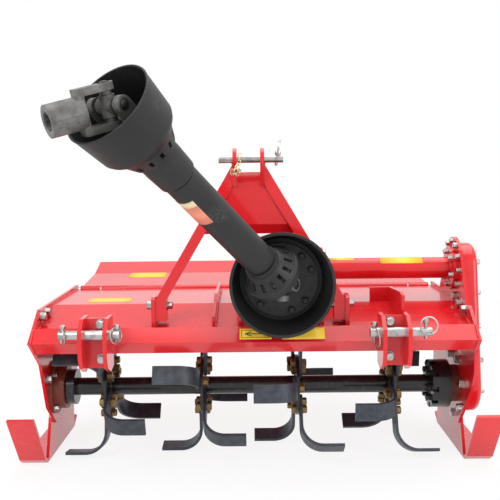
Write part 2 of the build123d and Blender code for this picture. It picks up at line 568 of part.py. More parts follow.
with BuildPart() as rotor_flanges:
    for x in FLANGE_X:
        add(rod(x - FLANGE_T / 2, x + FLANGE_T / 2, ROTOR_Y, ROTOR_Z, FLANGE_R, ROTOR_TUBE_R))


def tine_set(x, first_angle):
    """Six L-shaped blades on one flange, bent to the left and to the right by turns."""
    foot, back = FLANGE_T / 2, FLANGE_T / 2 + TINE_T
    shoulder, bend_in = TINE_R - TINE_BEND_R, TINE_BEND_R - TINE_T
    with BuildPart() as body:
        for k in range(6):
            angle = radians(first_angle + 60 * k)
            hand = 1 if k % 2 == 0 else -1
            radial = Vector(0, -cos(angle), -sin(angle))
            axial = Vector(hand, 0, 0)
            with BuildSketch(Plane(origin=(x, ROTOR_Y, ROTOR_Z), x_dir=axial, z_dir=axial.cross(radial))):
                with BuildLine():
                    Polyline((back, shoulder), (back, 38), (foot, 38), (foot, shoulder))
                    RadiusArc((foot, shoulder), (foot + TINE_BEND_R, TINE_R), TINE_BEND_R)
                    Polyline((foot + TINE_BEND_R, TINE_R), (TINE_REACH, TINE_R), (TINE_REACH, TINE_R - TINE_T),
                             (foot + TINE_BEND_R, TINE_R - TINE_T))
                    RadiusArc((foot + TINE_BEND_R, TINE_R - TINE_T), (back, shoulder), -bend_in)
                make_face()
            extrude(amount=TINE_WIDTH / 2, both=True)
    return body.part


# Trailing board on its hinge rod
hinge_rod = rod(INNER_LEFT_X, INNER_RIGHT_X, HINGE_Y, HINGE_Z, HINGE_ROD_R)
BOARD_LEFT_X, BOARD_RIGHT_X = INNER_LEFT_X + BOARD_MARGIN, INNER_RIGHT_X - BOARD_MARGIN
KNUCKLE_LENGTH = 60
KNUCKLE_STARTS = (BOARD_LEFT_X, FRAME_MID_X - KNUCKLE_LENGTH / 2, BOARD_RIGHT_X - KNUCKLE_LENGTH)
with BuildPart() as deck_knuckles:
    for x in KNUCKLE_STARTS:
        add(rod(x, x + KNUCKLE_LENGTH, HINGE_Y, HINGE_Z, KNUCKLE_R, HINGE_ROD_R))
with BuildPart() as trailing_board:
    with BuildSketch(side_plane(BOARD_LEFT_X)):
        with BuildLine():
            Polyline(*strip([(HINGE_Y + dy, HINGE_Z + dz) for dy, dz in BOARD_RISE], BOARD_T), close=True)
        make_face()
    extrude(amount=BOARD_RIGHT_X - BOARD_LEFT_X)
    for x in KNUCKLE_STARTS:
        add(rod(x - SWING_GAP, x + KNUCKLE_LENGTH + SWING_GAP, HINGE_Y, HINGE_Z, KNUCKLE_R + SWING_GAP),
            mode=Mode.SUBTRACT)
    for x0, x1 in zip(KNUCKLE_STARTS, KNUCKLE_STARTS[1:]):
        add(rod(x0 + KNUCKLE_LENGTH + SWING_GAP, x1 - SWING_GAP, HINGE_Y, HINGE_Z, KNUCKLE_R))
    add(rod(INNER_LEFT_X, INNER_RIGHT_X, HINGE_Y, HINGE_Z, HINGE_ROD_R + PIN_GAP), mode=Mode.SUBTRACT)

pieces = {
    "front_beam": front_beam.part, "deck": deck.part, "deck_ribs": deck_stand.part,
    "side_plate_left": side_plate_left.part, "side_plate_right": side_plate_right.part,
    "skid_left": skid_left, "skid_right": skid_right,
    "hitch_bracket_left": hitch_bracket_left, "hitch_bracket_right": hitch_bracket_right,
    "lower_pin_left": lower_pin_left, "lower_pin_right": lower_pin_right, "deck_gusset": deck_gusset.part,
    "mast_feet": mast_feet.part, "mast_leg_left": mast_leg_left, "mast_leg_right": mast_leg_right,
    "mast_panel": mast_panel.part, "top_clevis": top_clevis.part, "top_pin": top_pin,
    "gearbox": gearbox.part, "drive_tube": drive_tube.part, "chain_case": chain_case.part,
    "input_flange": input_flange, "pto_guard": pto_guard, "pto_input_yoke": pto_input_yoke,
    "pto_cross": pto_cross, "pto_yoke": pto_yoke, "pto_cone": pto_cone.part, "pto_tube": pto_tube,
    "pto_inner_tube": pto_inner_tube, "pto_bell_neck": pto_bell_neck.part, "pto_bell": pto_bell,
    "pto_bell_yoke": pto_bell_yoke,
    "pto_end_cross": pto_end_cross, "pto_end_yoke": pto_end_yoke,
    "rotor_bearings": rotor_bearings.part, "rotor_shaft": rotor_shaft.part, "rotor_hubs": rotor_hubs.part,
    "rotor_flanges": rotor_flanges.part, "hinge_rod": hinge_rod, "deck_knuckles": deck_knuckles.part,
    "trailing_board": trailing_board.part,
}
for i, x in enumerate(FLANGE_X):
    pieces[f"tines_{i + 1}"] = tine_set(x, TINE_ANGLES[i])

# One offset puts the origin under the middle of the machine
box = Compound(children=[piece.moved(Location()) for piece in pieces.values()]).bounding_box()
ORIGIN_SHIFT = Vector(-(box.min.X + box.max.X) / 2, -(box.min.Y + box.max.Y) / 2, -box.min.Z)

os.makedirs("parts", exist_ok=True)
for label, piece in pieces.items():
    moved = piece.moved(Location(ORIGIN_SHIFT))
    moved.label = label
    export_step(moved, f"parts/{label}.step")
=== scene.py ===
"""Dresses a rotary tiller: paint and metal finishes, bolts, hitch clips, welds, stickers and a stage."""

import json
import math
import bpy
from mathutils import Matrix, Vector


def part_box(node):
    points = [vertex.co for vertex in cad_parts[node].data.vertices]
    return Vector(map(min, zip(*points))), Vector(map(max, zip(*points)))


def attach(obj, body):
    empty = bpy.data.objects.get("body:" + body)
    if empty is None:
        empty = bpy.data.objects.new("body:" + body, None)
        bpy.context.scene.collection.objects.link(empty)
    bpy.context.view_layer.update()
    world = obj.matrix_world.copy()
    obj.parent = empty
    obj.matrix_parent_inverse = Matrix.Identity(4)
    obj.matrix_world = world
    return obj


bl_info = {
    "name": "Rotary Tiller Dressing",
    "version": (1, 0, 0),
    "blender": (4, 5, 0),
    "location": "View3D > Sidebar > Tiller",
    "description": "Paints a rotary tiller and adds its bolts, clips, welds and stickers",
    "category": "Object",
}

from typing import NamedTuple

import bpy
import numpy as np
from bpy.props import FloatProperty, FloatVectorProperty, PointerProperty
from mathutils import Matrix

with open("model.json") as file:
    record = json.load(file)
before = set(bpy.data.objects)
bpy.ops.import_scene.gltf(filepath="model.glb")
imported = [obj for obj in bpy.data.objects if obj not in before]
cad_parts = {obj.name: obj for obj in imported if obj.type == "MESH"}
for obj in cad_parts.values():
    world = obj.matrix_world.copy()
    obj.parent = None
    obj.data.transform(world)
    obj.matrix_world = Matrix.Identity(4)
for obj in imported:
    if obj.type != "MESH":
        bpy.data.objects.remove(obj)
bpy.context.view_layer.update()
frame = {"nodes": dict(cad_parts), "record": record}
JOINTS = {joint["name"]: (np.array(joint["pos_m"]), np.array(joint["axis"]))
          for joint in frame["record"]["behaviour"]["joints"]}
X, Y, Z = np.eye(3)
MM = 0.001
FINISHES = {}


def extent(node):
    """Lowest and highest corner of a CAD node as arrays."""
    low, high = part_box(node)
    return np.array(low), np.array(high)


FRONT_Y = extent("front_beam")[0][1]
ROTOR = JOINTS["rotor_spin"][0]
REAR_JOINT, REAR_PIN = JOINTS["shaft_tilt"]
SHAFT_RUN = JOINTS["shaft_slide"][1]
TUBE_LOW, TUBE_HIGH = extent("drive_tube")
TUBE = (TUBE_LOW + TUBE_HIGH) / 2


def spot(x, back, up):
    """Point from millimetres: across from the frame's middle, back from the beam's front edge, and up."""
    return np.array([x, back, up]) * MM + [0, FRONT_Y, 0]


def on_side(x, back, up):
    """Point on the upright plane that stands x metres across, with the rest as spot() takes it."""
    return spot(0, back, up) + x * X


# Shapes

NEAR_UPRIGHT = 0.9


def basis(axis):
    """Right-handed frame whose third column is the axis."""
    axis = np.asarray(axis, float) / np.linalg.norm(axis)
    helper = Z if abs(axis[2]) < NEAR_UPRIGHT else X
    first = np.cross(helper, axis)
    first /= np.linalg.norm(first)
    return np.stack([first, np.cross(axis, first), axis], 1)


def full_turn(count):
    """Angles spread evenly over one turn."""
    return np.arange(count) * 2 * np.pi / count


def spokes(axis, turn):
    """Unit vectors square to the axis: first * cos t + second * sin t for each angle t."""
    first, second = basis(axis).T[:2]
    return np.cos(turn)[:, None] * first + np.sin(turn)[:, None] * second


def net(rows, cols, wrap_rows=False, wrap_cols=True):
    """Quads of a grid: point (i, j) is joined to its neighbours in the next row and the next column."""
    i, j = np.meshgrid(np.arange(rows if wrap_rows else rows - 1), np.arange(cols if wrap_cols else cols - 1),
                       indexing="ij")
    up, side = (i + 1) % rows, (j + 1) % cols
    quads = np.stack([i * cols + j, i * cols + side, up * cols + side, up * cols + j], -1)
    return quads.reshape(-1, 4).tolist()


def capped(rows, cols):
    """Quads of an open tube of rows rings, with one flat face on each end."""
    last = (rows - 1) * cols + np.arange(cols)
    return net(rows, cols) + [np.arange(cols)[::-1].tolist(), last.tolist()]


def spin(profile, centre, axis, sides=48):
    """Turned solid: centre + d * axis + r * (cos t, sin t) for each (r, d) of the profile and angle t."""
    radius, along = np.asarray(profile, float).T[:, :, None, None]
    points = np.asarray(centre) + along * basis(axis)[:, 2] + radius * spokes(axis, full_turn(sides))
    return points.reshape(-1, 3), capped(len(profile), sides)


def sweep(path, radius, normal, sides=10, closed=False):
    """Round wire: path(s) + radius(s) * (cos t * side(s) - sin t * normal) for a path in one plane."""
    path = np.asarray(path, float)
    ahead = (np.roll(path, -1, 0) - np.roll(path, 1, 0)) if closed else np.gradient(path, axis=0)
    ahead /= np.linalg.norm(ahead, axis=1, keepdims=True)
    normal = np.asarray(normal, float) / np.linalg.norm(normal)
    side = np.cross(ahead, normal)
    turn = full_turn(sides)[:, None]
    radius = np.broadcast_to(radius, len(path))[:, None, None]
    points = path[:, None] + radius * (np.cos(turn) * side[:, None] - np.sin(turn) * normal)
    faces = net(len(path), sides, wrap_rows=True) if closed else capped(len(path), sides)
    return points.reshape(-1, 3), faces


def gather(parts):
    """Joins (points, faces) pairs into one mesh, with the face numbers moved up."""
    points, faces, start = [], [], 0
    for part_points, part_faces in parts:
        points.append(part_points)
        faces += [[start + k for k in face] for face in part_faces]
        start += len(part_points)
    return np.concatenate(points), faces


HEX_SIDES, HEAD_SEED = 12, 3
HEAD_SHARE, WASHER_T = 0.65, 0.002
# Rings of a bolt head: share of half the flats, 1 where six-sided, 1 above the washer, share of the height
HEAD_RINGS = np.array([(1.32, 0, 0, 0), (1.32, 0, 1, 0), (1, 1, 1, 0), (1, 1, 1, 0.84), (0.9, 0, 1, 1),
                       (0.5, 0, 1, 0.97)])


def hex_rings(flats, height):
    """Bolt head over a washer: ring radius r * (h / cos(t mod 60 - 30) + 1 - h), six-sided where h is 1."""
    share, six_sided, above, rise = HEAD_RINGS.T[:, :, None]
    turn = full_turn(HEX_SIDES)
    six = 1 / np.cos((turn + np.pi / 6) % (np.pi / 3) - np.pi / 6)
    radius = share * flats / 2 * (six_sided * six + 1 - six_sided)
    level = np.repeat(above * WASHER_T + rise * height, HEX_SIDES, 1)
    return np.stack([radius * np.cos(turn), radius * np.sin(turn), level], -1)


def hex_heads(seats, axes, flats, height=None):
    """Bolt heads on many seats: each is turned to its axis, by its own angle, and moved to its seat."""
    rings = hex_rings(flats, height or HEAD_SHARE * flats)
    angle = np.random.default_rng(HEAD_SEED).uniform(0, np.pi / 3, len(seats))
    parts = []
    for seat, axis, turn in zip(seats, axes, angle):
        cos, sin = math.cos(turn), math.sin(turn)
        around = np.array([[cos, -sin, 0], [sin, cos, 0], [0, 0, 1]])
        parts.append((rings.reshape(-1, 3) @ around.T @ basis(axis).T + seat, capped(len(rings), HEX_SIDES)))
    return gather(parts)


def ring_of(centre, axis, radius, count, start=0.0):
    """Points spread evenly on a circle about the axis, the first of them start degrees round."""
    return np.asarray(centre) + radius * spokes(axis, math.radians(start) + full_turn(count))


BEAD_PITCH, BEAD_SIDES = 0.006, 8
BEAD_STEPS, BEAD_LEAST = 3, 8
BEAD_RIPPLE, BEAD_WANDER, BEAD_TIP = 0.16, 0.05, 0.3


def bead(start, end, radius, pitch=BEAD_PITCH, seed=1):
    """Weld bead: a line of radius r * (1 + ripple * cos(2 pi s / pitch) + wander), narrowed at both ends."""
    start, end = np.asarray(start, float), np.asarray(end, float)
    length = np.linalg.norm(end - start)
    count = max(int(length / pitch) * BEAD_STEPS, BEAD_LEAST)
    along = np.linspace(0, 1, count)
    wander = np.random.default_rng(seed).normal(0, BEAD_WANDER, count)
    swell = radius * (1 + BEAD_RIPPLE * np.cos(2 * np.pi * along * length / pitch) + wander)
    swell[[0, -1]] *= BEAD_TIP
    path = start + along[:, None] * (end - start)
    return sweep(path, swell, basis(end - start)[:, 0], BEAD_SIDES)


def ring_bead(centre, axis, ring_radius, radius):
    """Weld bead round a tube: a circle whose wire radius rises and falls a whole number of times."""
    count = BEAD_STEPS * int(2 * np.pi * ring_radius / BEAD_PITCH)
    swell = radius * (1 + BEAD_RIPPLE * np.cos(2 * np.pi * np.arange(count) / BEAD_STEPS))
    return sweep(ring_of(centre, axis, ring_radius, count), swell, axis, BEAD_SIDES, True)


SHARP_ANGLE, BEAD_SHARP_ANGLE = 35, 60


def place(name, shape, finish, body, slot, angle=SHARP_ANGLE):
    """New piece from points and faces, smooth but for edges sharper than the angle, riding on a body."""
    points, faces = shape
    mesh = bpy.data.meshes.new(name)
    mesh.from_pydata(np.asarray(points).tolist(), [], faces)
    mesh.validate()
    mesh.polygons.foreach_set("use_smooth", np.ones(len(mesh.polygons), bool))
    mesh.set_sharp_from_angle(angle=math.radians(angle))
    mesh.materials.append(FINISHES[finish])
    piece = bpy.data.objects.new(name, mesh)
    bpy.context.scene.collection.objects.link(piece)
    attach(piece, body)
    return piece


# Finishes


class Sock:
    """A shader socket on which Python's operators add Math nodes."""

    def __init__(self, finish, socket):
        self.finish, self.socket = finish, socket

    def math(self, operation, first, second):
        """One Math node of two values or sockets."""
        return self.finish.node("ShaderNodeMath", {"operation": operation}, {0: first, 1: second})

    def __add__(self, other):
        return self.math("ADD", self, other)

    def __mul__(self, other):
        return self.math("MULTIPLY", self, other)

    __radd__, __rmul__ = __add__, __mul__


class Nodes:
    """A node tree to which nodes are added, each given by its type, its settings and its inputs."""

    def __init__(self, tree):
        self.tree = tree

    def node(self, kind, settings=None, inputs=None, out=0):
        """New node with its settings set first, then its inputs linked or filled in; gives one output."""
        made = self.tree.nodes.new(kind)
        for key, value in (settings or {}).items():
            setattr(made, key, value)
        for key, value in (inputs or {}).items():
            if isinstance(value, Sock):
                self.tree.links.new(value.socket, made.inputs[key])
            else:
                made.inputs[key].default_value = value
        return Sock(self, made.outputs[out])

    def seen(self):
        """One where a ray comes from the camera, a mirror or clear glass, and zero where it only lights."""
        path = self.node("ShaderNodeLightPath", out="Is Camera Ray")
        outputs = path.socket.node.outputs
        both = path.math("MAXIMUM", path, Sock(self, outputs["Is Glossy Ray"]))
        return both.math("MAXIMUM", both, Sock(self, outputs["Is Transmission Ray"]))


class Finish(Nodes):
    """One node material: constants sit on the shader, patterns are fed to it."""

    def __init__(self, name, **constants):
        self.material = bpy.data.materials.new(name)
        self.material.use_nodes = True
        super().__init__(self.material.node_tree)
        self.shader = self.tree.nodes["Principled BSDF"]
        for key, value in constants.items():
            self.shader.inputs[key.replace("_", " ").title().replace("Ior", "IOR")].default_value = value
        FINISHES[name] = self.material
        self.where = self.node("ShaderNodeTexCoord", out="Object")

    def noise(self, scale, detail=2.0, stretch=None, rough=0.5):
        """Cloudy values about 0.5 over the object, drawn out along its axes by the stretch."""
        where = self.where
        if stretch:
            where = self.node("ShaderNodeMapping", {}, {"Vector": where, "Scale": stretch})
        return self.node("ShaderNodeTexNoise", {}, {"Vector": where, "Scale": scale, "Detail": detail,
                                                    "Roughness": rough})

    def between(self, value, low, high):
        """Maps low..high to 0..1, smoothly."""
        return self.node("ShaderNodeMapRange", {"interpolation_type": "SMOOTHSTEP"},
                         {"Value": value, "From Min": low, "From Max": high})

    def blend(self, factor, first, second):
        """Colour between two, each given as a socket or as red, green and blue."""
        def colour(value):
            return value if isinstance(value, Sock) else (*value, 1.0)

        return self.node("ShaderNodeMix", {"data_type": "RGBA"},
                         {0: factor, 6: colour(first), 7: colour(second)}, 2)

    def feed(self, **sockets):
        """Links sockets to the shader's inputs of those names."""
        for key, value in sockets.items():
            self.tree.links.new(value.socket, self.shader.inputs[key.replace("_", " ").title()])

    def relief(self, height, strength, distance, edge=0.0008):
        """Bump from a height, over a normal that is rounded off near edges."""
        rounded = self.node("ShaderNodeBevel", {"samples": 4}, {"Radius": edge})
        self.feed(normal=self.node("ShaderNodeBump", {}, {"Strength": strength, "Distance": distance,
                                                          "Height": height, "Normal": rounded}))


DUST_COLOUR, SPECK_COLOUR = (0.4, 0.31, 0.26), (0.05, 0.046, 0.04)
DUST_TOP = 0.3


def gloss_paint(name, colour, dust=0.12, roughness=0.26, coat=0.5):
    """Glossy paint: orange-peel relief, a slow drift of shade, fine runs down its faces and dust low down."""
    paint = Finish(name, coat_weight=coat, coat_roughness=0.07, specular_ior_level=0.32)
    drift = paint.between(paint.noise(4.0, 3.0), 0.3, 0.7)
    darker = tuple(0.84 * c for c in colour)
    height = paint.node("ShaderNodeSeparateXYZ", {}, {0: paint.where}, "Z")
    low = paint.between(height, DUST_TOP, 0.0)
    film = paint.between(paint.noise(70.0, 5.0, rough=0.65), 0.5, 0.8) * (low * 0.75 + 0.25) * dust
    base = paint.blend(drift, darker, colour)
    paint.feed(base_color=paint.blend(film, base, DUST_COLOUR),
               roughness=film * 0.5 + paint.noise(9.0, 2.0) * 0.1 + (roughness - 0.05))
    runs = paint.noise(24.0, 2.0, stretch=(1.0, 1.0, 0.25))
    paint.relief(paint.noise(430.0, 1.0) * 0.35 + runs, 0.1, 0.0006, 0.0012)


def bare_metal(name, colour, tint, roughness, grain=(40, 40, 40), metallic=1.0, pits=0.1):
    """Plated or bare metal: two tints in patches, fine streaks in its roughness and faint pits."""
    metal = Finish(name, metallic=metallic)
    patch = metal.between(metal.noise(60.0, 4.0), 0.35, 0.68)
    streak = metal.noise(12.0, 3.0, stretch=grain)
    metal.feed(base_color=metal.blend(patch, colour, tint), roughness=streak * 0.22 + (roughness - 0.1))
    metal.relief(metal.noise(420.0, 2.0), pits, 0.0004)


def moulded_plastic(name, colour, scuff):
    """Moulded plastic: pebble grain, broad dull patches, and pale scuffs where broad and fine noise meet."""
    plastic = Finish(name, specular_ior_level=0.32)
    broad = plastic.between(plastic.noise(14.0, 4.0), 0.56, 0.78)
    rub = broad * plastic.between(plastic.noise(160.0, 3.0), 0.4, 0.7)
    dull = plastic.between(plastic.noise(7.0, 3.0), 0.3, 0.7)
    paler = tuple(1.35 * c for c in colour)
    plastic.feed(base_color=plastic.blend(rub, plastic.blend(dull, colour, paler), scuff),
                 roughness=rub * 0.15 + dull * 0.08 + plastic.noise(30.0, 2.0) * 0.1 + 0.4)
    plastic.relief(plastic.noise(700.0, 1.0), 0.14, 0.0004, 0.0015)


def rough_casting(name, colour, tint):
    """Raw casting: sandy relief over broad lumps, patchy grey-brown colour with dark specks."""
    cast = Finish(name, metallic=0.3)
    patch = cast.between(cast.noise(38.0, 5.0, rough=0.6), 0.36, 0.66)
    speck = cast.between(cast.noise(210.0, 3.0), 0.62, 0.74)
    cast.feed(base_color=cast.blend(speck * 0.7, cast.blend(patch, colour, tint), SPECK_COLOUR),
              roughness=patch * 0.14 + 0.46)
    cast.relief(cast.noise(260.0, 4.0) + cast.noise(50.0, 2.0) * 0.6, 0.3, 0.001, 0.002)


def printed_film(name, colour):
    """Sticker film: flat colour with faint fading and small bubbles under it."""
    film = Finish(name, specular_ior_level=0.5)
    fade = film.between(film.noise(24.0, 3.0), 0.3, 0.75)
    film.feed(base_color=film.blend(fade, colour, tuple(0.88 * c + 0.04 for c in colour)),
              roughness=fade * 0.12 + 0.34)
    film.relief(film.noise(120.0, 2.0), 0.06, 0.0004)


# Settings


class TillerSizes(bpy.types.PropertyGroup):
    """Sizes of the small pieces that are added to the frame."""
    blade_bolt: FloatProperty(name="Blade bolt", description="Across the flats of a blade bolt",
                              default=0.019, unit="LENGTH")
    frame_bolt: FloatProperty(name="Frame bolt", description="Across the flats of a frame bolt",
                              default=0.019, unit="LENGTH")
    clip_wire: FloatProperty(name="Clip wire", description="Thickness of a locking clip's ring",
                             default=0.004, unit="LENGTH")
    weld: FloatProperty(name="Weld", description="Radius of a weld bead", default=0.0035, unit="LENGTH")
    sticker: FloatProperty(name="Sticker", description="Thickness of a sticker",
                           default=0.0005, unit="LENGTH")


class TillerColours(bpy.types.PropertyGroup):
    """Colours that an owner would change."""
    paint: FloatVectorProperty(name="Paint", description="Colour of the frame", subtype="COLOR", size=3,
                               default=(0.7, 0.008, 0.014))
    blade: FloatVectorProperty(name="Blades", description="Colour of the blades", subtype="COLOR", size=3,
                               default=(0.03, 0.036, 0.048))
    film: FloatVectorProperty(name="Stickers", description="Colour of the stickers", subtype="COLOR", size=3,
                              default=(0.84, 0.56, 0.015))


# Pieces


class TILLER_OT_finishes(bpy.types.Operator):
    """Makes every finish and puts it on the frame's own pieces"""
    bl_idname = "tiller.finishes"
    bl_label = "Finishes"

    def execute(self, context):
        colours = context.scene.tiller_colours
        gloss_paint("red_paint", tuple(colours.paint))
        gloss_paint("black_paint", (0.011, 0.011, 0.013), dust=0.3, roughness=0.3, coat=0.3)
        gloss_paint("bearing_paint", (0.17, 0.035, 0.022), dust=0.5, roughness=0.42, coat=0.1)
        bare_metal("tine_steel", tuple(colours.blade), (0.05, 0.058, 0.074), 0.44, grain=(30, 6, 6),
                   metallic=0.25, pits=0.2)
        bare_metal("zinc_steel", (0.54, 0.53, 0.52), (0.35, 0.345, 0.335), 0.3)
        bare_metal("olive_zinc", (0.27, 0.18, 0.075), (0.17, 0.12, 0.055), 0.46, metallic=0.8)
        bare_metal("brass_zinc", (0.66, 0.55, 0.33), (0.5, 0.42, 0.27), 0.34)
        bare_metal("grey_steel", (0.034, 0.034, 0.036), (0.02, 0.02, 0.021), 0.45, metallic=0.3)
        moulded_plastic("black_plastic", (0.015, 0.0148, 0.0158), (0.06, 0.06, 0.062))
        rough_casting("cast_grey", (0.16, 0.157, 0.15), (0.09, 0.087, 0.082))
        printed_film("yellow_film", tuple(colours.film))
        printed_film("cream_film", (0.78, 0.62, 0.4))
        printed_film("peach_film", (0.76, 0.25, 0.15))
        printed_film("black_film", (0.012, 0.012, 0.012))
        slots = {part["node"]: part["material_slot"] for part in frame["record"]["subparts"]}
        for node, piece in frame["nodes"].items():
            piece.data.materials.clear()
            piece.data.materials.append(FINISHES[slots[node]])
        return {"FINISHED"}


BLADES, BLADE_ANGLES = 6, (20, 36, 52, 68)
BLADE_BOLT_RADII, BLADE_HEAD = (0.05, 0.072), 0.011
FLANGE_FACE, BLADE_FACE = 0.004, 0.012


def flange_middle(number):
    """Middle of a flange, which stands half way over its own blades."""
    low, high = extent(f"tines_{number}")
    return np.array([(low[0] + high[0]) / 2, *ROTOR[1:]])


class TILLER_OT_blade_bolts(bpy.types.Operator):
    """Adds the plated bolts and nuts that hold the blades to their flanges"""
    bl_idname = "tiller.blade_bolts"
    bl_label = "Blade Bolts"

    def execute(self, context):
        flats = context.scene.tiller_sizes.blade_bolt
        count = np.arange(BLADES)
        right_hand = count % 2 == 0
        seats, axes = [], []
        for number, first in enumerate(BLADE_ANGLES, 1):
            angle = np.radians(first + 360 / BLADES * count)
            radial = np.stack([0 * angle, -np.cos(angle), -np.sin(angle)], 1)
            for radius in BLADE_BOLT_RADII:
                centre = flange_middle(number) + radius * radial
                for side in (-1, 1):
                    face = np.where(right_hand == (side > 0), BLADE_FACE, FLANGE_FACE)
                    seats.append(centre + side * face[:, None] * X)
                    axes.append(np.repeat([side * X], BLADES, 0))
        heads = hex_heads(np.concatenate(seats), np.concatenate(axes), flats, BLADE_HEAD)
        place("blade_bolts", heads, "olive_zinc", "rotor", "zinc_steel")
        return {"FINISHED"}


# Bolt places in millimetres: back from the beam's front edge and up from the floor
BRACKET_BOLTS = ((-8, 406), (-8, 320))
FOOT_BOLT = (90, 434)
LEFT_PLATE_BOLTS = ((100, 406), (143, 411), (132, 232))
RIGHT_PLATE_BOLTS = ((120, 410), (166, 420), (206, 432))
SKID_BOLTS = ((345, 176), (388, 124), (250, 95))
CASE_BOLTS = ((255, 548), (217, 522), (293, 522), (205, 440), (290, 440), (195, 350), (274, 350), (170, 262),
              (262, 262), (157, 182), (259, 182))
# Bolt circles: radius, number of bolts and the first one's angle
ROTOR_CIRCLE = (0.082, 7, 12)
TUBE_CIRCLE = (0.074, 12)
TUBE_END_CIRCLE = (0.045, 6, 20)
BOSS_CIRCLE = (0.041, 6)
COVER_CIRCLE = (0.05, 6)
BEARING_CIRCLE = (0.065, 4, 45)
INPUT_CIRCLES = ((0.079, 4, 19), (0.079, 4, 49))
HUB_CIRCLE = (0.039, 6)
# Distances from a node's box to its bolted face, and the height where the plate's raised edge begins
BRACKET_SHIFT, LEG_WIDTH, SKID_WEB = 0.012, 0.028, 0.008
TUBE_END, BEARING_FACE, HUB_SPAN, COVER_T = 0.012, 0.01, 0.05, 0.01
PLATE_EDGE_Z = 0.445
DRIVE_BOLT_SHARE, SCREW_SHARE = 0.7, 0.75


def bolt_circle(x, middle, axis, circle):
    """Seats and axes of bolts on an upright face that stands x across, about a line through the middle."""
    return [(seat, axis) for seat in ring_of((x, middle[1], middle[2]), X, *circle)]


def skid_web(side):
    """How far across the outer face of a skid's web stands, and which way it looks."""
    sign = -1 if side == "left" else 1
    return extent(f"side_plate_{side}")[sign > 0][0] + sign * SKID_WEB, sign


class TILLER_OT_frame_bolts(bpy.types.Operator):
    """Adds the plated bolts of the hitch, the mast, the side plates and the drive"""
    bl_idname = "tiller.frame_bolts"
    bl_label = "Frame Bolts"

    def execute(self, context):
        flats = context.scene.tiller_sizes.frame_bolt
        large, small = [], []
        for side, shift in (("left", BRACKET_SHIFT), ("right", -BRACKET_SHIFT)):
            middle = np.mean(extent(f"hitch_bracket_{side}"), 0)[0]
            large += [(on_side(middle + shift, *at), -Y) for at in BRACKET_BOLTS]
        foot_low, foot_high = extent("mast_feet")
        leg_left = extent("mast_leg_left")[0][0] + LEG_WIDTH
        leg_right = extent("mast_leg_right")[1][0] - LEG_WIDTH
        for x, axis in ((foot_low[0], -X), (foot_high[0], X), (leg_left, X), (leg_right, -X)):
            large.append((on_side(x, *FOOT_BOLT), axis))
        left_face, right_face = extent("side_plate_left")[1][0], extent("side_plate_right")[0][0]
        large += bolt_circle(right_face, ROTOR, -X, ROTOR_CIRCLE)
        large += [(on_side(left_face, *at), X) for at in LEFT_PLATE_BOLTS]
        large += [(on_side(right_face, *at), -X) for at in RIGHT_PLATE_BOLTS]
        for side in ("left", "right"):
            web, sign = skid_web(side)
            large += [(on_side(web, *at), sign * X) for at in SKID_BOLTS]
        small += [row for row in bolt_circle(right_face, TUBE, -X, TUBE_CIRCLE) if row[0][2] > PLATE_EDGE_Z]
        small += bolt_circle(TUBE_HIGH[0] - TUBE_END, TUBE, -X, TUBE_END_CIRCLE)
        small += bolt_circle(TUBE_LOW[0] + TUBE_END, TUBE, X, TUBE_END_CIRCLE)
        box_low, box_high = extent("gearbox")
        small += bolt_circle(box_low[0], TUBE, -X, BOSS_CIRCLE)
        cover = (REAR_JOINT[0], box_high[1] + COVER_T, TUBE[2])
        small += [(seat, Y) for seat in ring_of(cover, Y, *COVER_CIRCLE)]
        small += bolt_circle(extent("rotor_bearings")[0][0] + BEARING_FACE, ROTOR, X, BEARING_CIRCLE)
        case = extent("chain_case")[1][0]
        small += [(on_side(case, *at), X) for at in CASE_BOLTS]
        for name, rows, size in (("frame_bolts", large, flats),
                                 ("drive_bolts", small, DRIVE_BOLT_SHARE * flats)):
            place(name, hex_heads(*zip(*rows), size), "zinc_steel", "frame", "zinc_steel")
        screw = SCREW_SHARE * flats
        disc_low, disc_high = extent("input_flange")
        disc = ((disc_low[0] + disc_high[0]) / 2, disc_low[1], (disc_low[2] + disc_high[2]) / 2)
        seats = np.concatenate([ring_of(disc, -Y, *circle) for circle in INPUT_CIRCLES])
        place("input_screws", hex_heads(seats, [-Y] * len(seats), screw), "grey_steel", "frame", "grey_steel")
        rows = bolt_circle(extent("rotor_hubs")[1][0] - HUB_SPAN, ROTOR, -X, HUB_CIRCLE)
        place("hub_screws", hex_heads(*zip(*rows), screw), "grey_steel", "rotor", "black_paint")
        return {"FINISHED"}


# Half outline of the gearbox's cover: radius and distance from the gearbox
COVER_OUTLINE = ((0.0005, 0), (0.062, 0), (0.063, 0.002), (0.063, COVER_T - 0.002), (0.0615, COVER_T),
                 (0.036, COVER_T), (0.034, COVER_T + 0.005), (0.0005, COVER_T + 0.006))
CASE_PLUGS, CASE_PLUG_FLATS, CASE_PLUG_H = ((232, 350), (208, 141)), 0.022, 0.01
FILLER_BACK, FILLER_FLATS, FILLER_H = 0.197, 0.024, 0.012


class TILLER_OT_gear_covers(bpy.types.Operator):
    """Adds the round cover behind the gearbox and the oil plugs of the gearbox and the chain case"""
    bl_idname = "tiller.gear_covers"
    bl_label = "Gear Covers"

    def execute(self, context):
        box_low, box_high = extent("gearbox")
        cover = spin(COVER_OUTLINE, (REAR_JOINT[0], box_high[1], REAR_JOINT[2]), Y)
        place("gear_cover", cover, "red_paint", "frame", "red_paint")
        case = extent("chain_case")[1][0]
        seats = [on_side(case, *at) for at in CASE_PLUGS]
        filler = np.array([REAR_JOINT[0], box_low[1] + FILLER_BACK, box_high[2]])
        plugs = [hex_heads(seats, [X] * len(seats), CASE_PLUG_FLATS, CASE_PLUG_H),
                 hex_heads([filler], [Z], FILLER_FLATS, FILLER_H)]
        place("oil_plugs", gather(plugs), "zinc_steel", "frame", "zinc_steel")
        return {"FINISHED"}


RING_POINTS = 48


